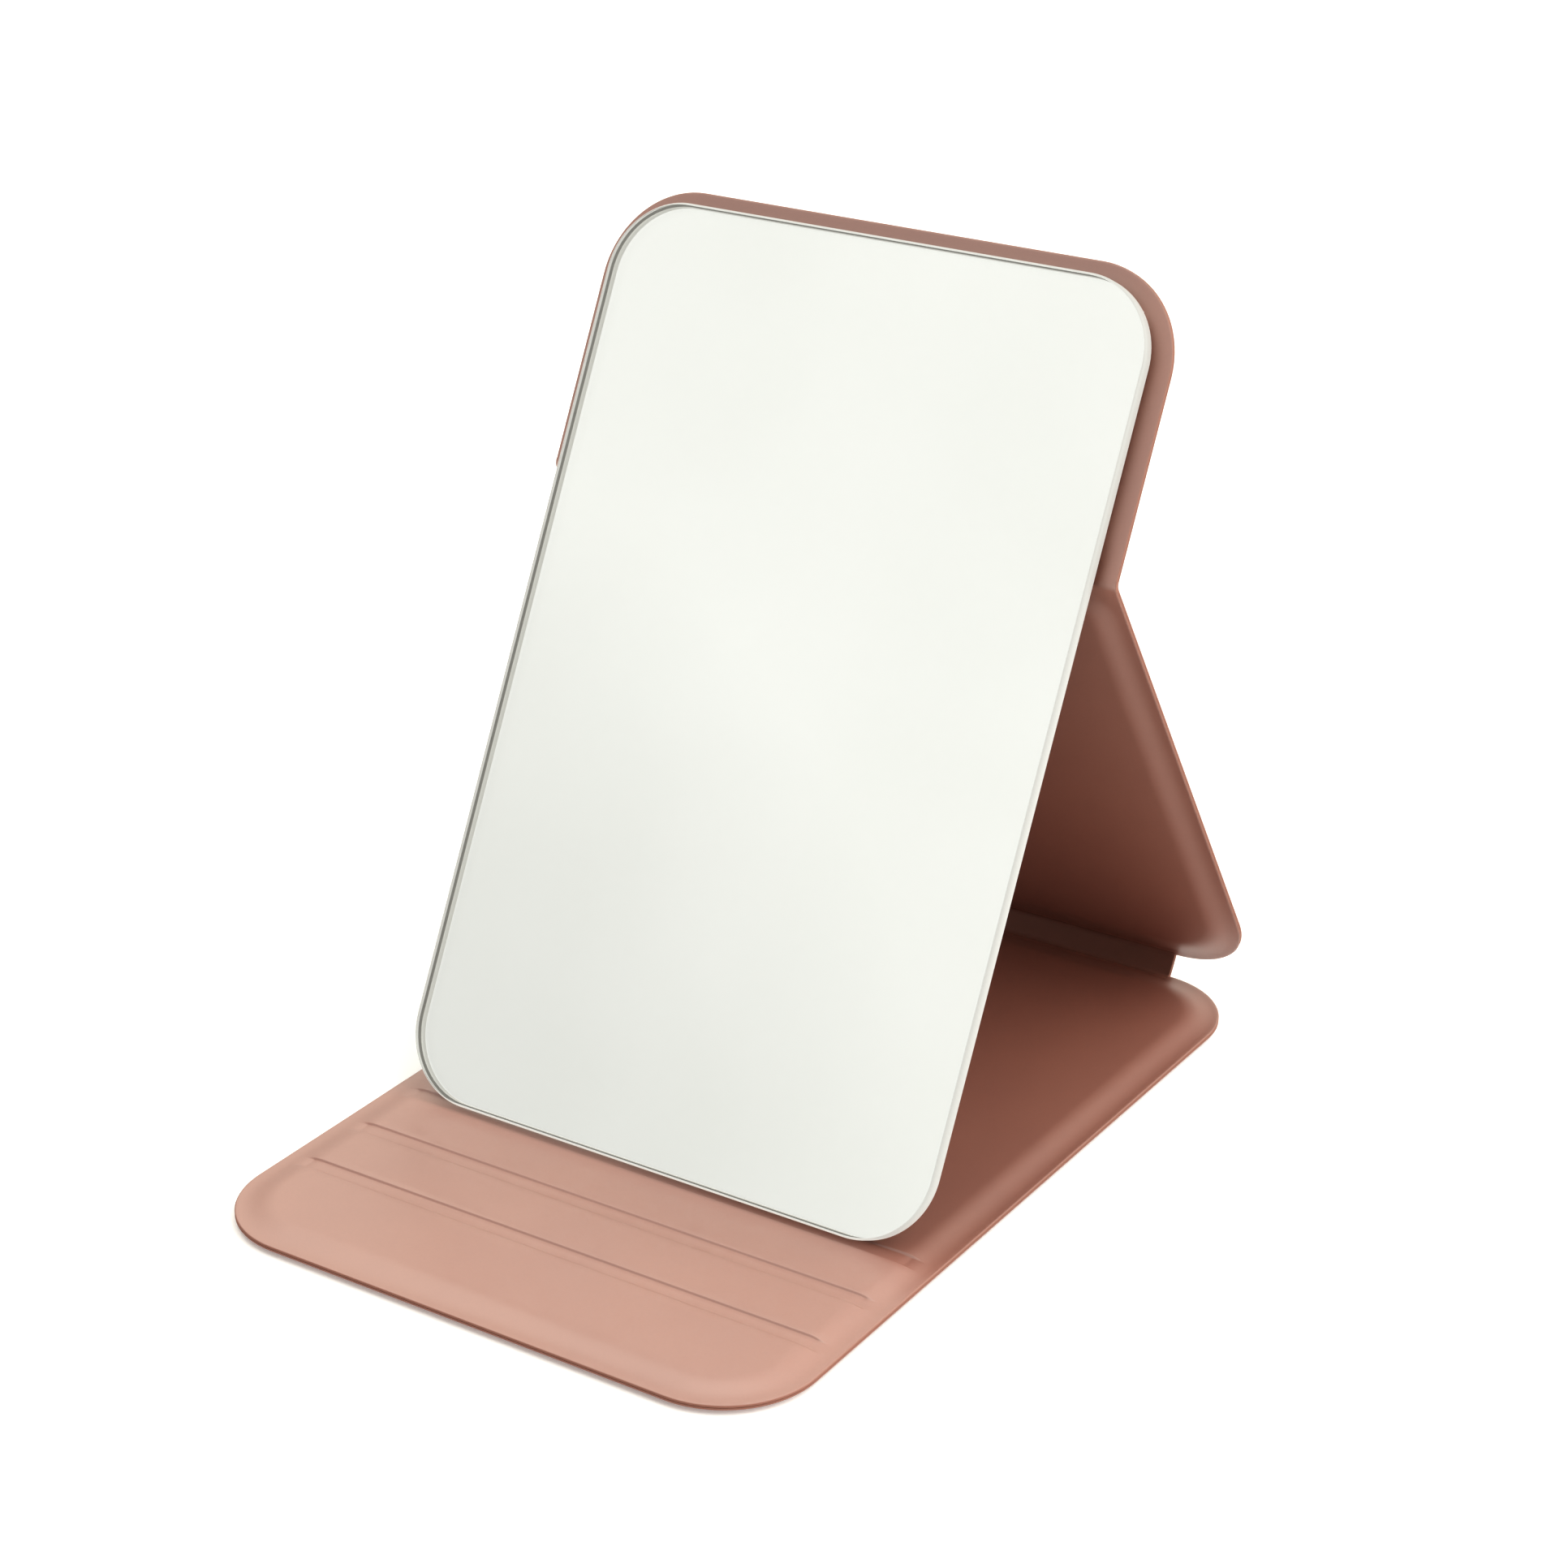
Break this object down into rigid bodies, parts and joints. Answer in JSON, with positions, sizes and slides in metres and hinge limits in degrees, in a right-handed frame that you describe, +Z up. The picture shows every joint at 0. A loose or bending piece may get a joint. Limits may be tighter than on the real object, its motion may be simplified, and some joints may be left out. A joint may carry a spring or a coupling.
{
  "type": "folding travel mirror",
  "caption": "Fold-flat compact mirror: frameless rounded glass on a padded leather case that opens into a foot, spine and strut, with tilt grooves across the foot.",
  "frame": {"origin": "centre of the foot's underside, which rests on the table", "axes": "+Z up, +Y from the glass towards the spine along the foot, +X across the case; the mirror faces -Y"},
  "size_m": [0.12, 0.1812, 0.1596],
  "materials": {
    "outer_leather": "smooth coated leather cloth, satin with a faint metallic rose sheen",
    "lining_leather": "smooth coated leather cloth, satin with a faint metallic rose sheen",
    "grey_board": "dense pressed grey board",
    "foam_sheet": "thin soft closed-cell foam sheet",
    "foam_tape": "white double-sided foam tape",
    "backing_paint": "matt grey protective paint",
    "silver_layer": "reflecting silver layer",
    "mirror_glass": "clear float glass with a ground and chamfered edge"
  },
  "bodies": {
    "base": {"base_outer_skin": "outer_leather", "base_board": "grey_board", "base_foam": "foam_sheet", "base_lining": "lining_leather", "base_crease": "outer_leather"},
    "spine": {"spine_outer_skin": "outer_leather", "spine_lining": "lining_leather"},
    "strut": {"strut_crease": "outer_leather", "strut_outer_skin": "outer_leather", "strut_board": "grey_board", "strut_foam": "foam_sheet", "strut_lining": "lining_leather"},
    "mirror": {"back_crease": "outer_leather", "back_panel_outer_skin": "outer_leather", "back_panel_board": "grey_board", "back_panel_lining": "lining_leather", "adhesive_tape": "foam_tape", "back_paint": "backing_paint", "silver_coat": "silver_layer", "mirror_glass": "mirror_glass"}
  },
  "joints": [
    {"name": "base_fold", "type": "hinge", "parent": "base", "child": "spine", "pos_m": [0, 0.089, 0.00145], "axis": [1, 0, 0], "range_deg": [-59, 0]},
    {"name": "strut_fold", "type": "hinge", "parent": "spine", "child": "strut", "pos_m": [0, 0.09168, 0.00591], "axis": [1, 0, 0], "range_deg": [-27.4, 7.7]},
    {"name": "back_fold", "type": "hinge", "parent": "strut", "child": "mirror", "pos_m": [0, 0.02425, 0.11021], "axis": [1, 0, 0], "range_deg": [-16.8, 59.9]}
  ],
  "couplings": [
    {"joint": "strut_fold", "follows": "back_fold", "ratio": -0.45615}
  ]
}
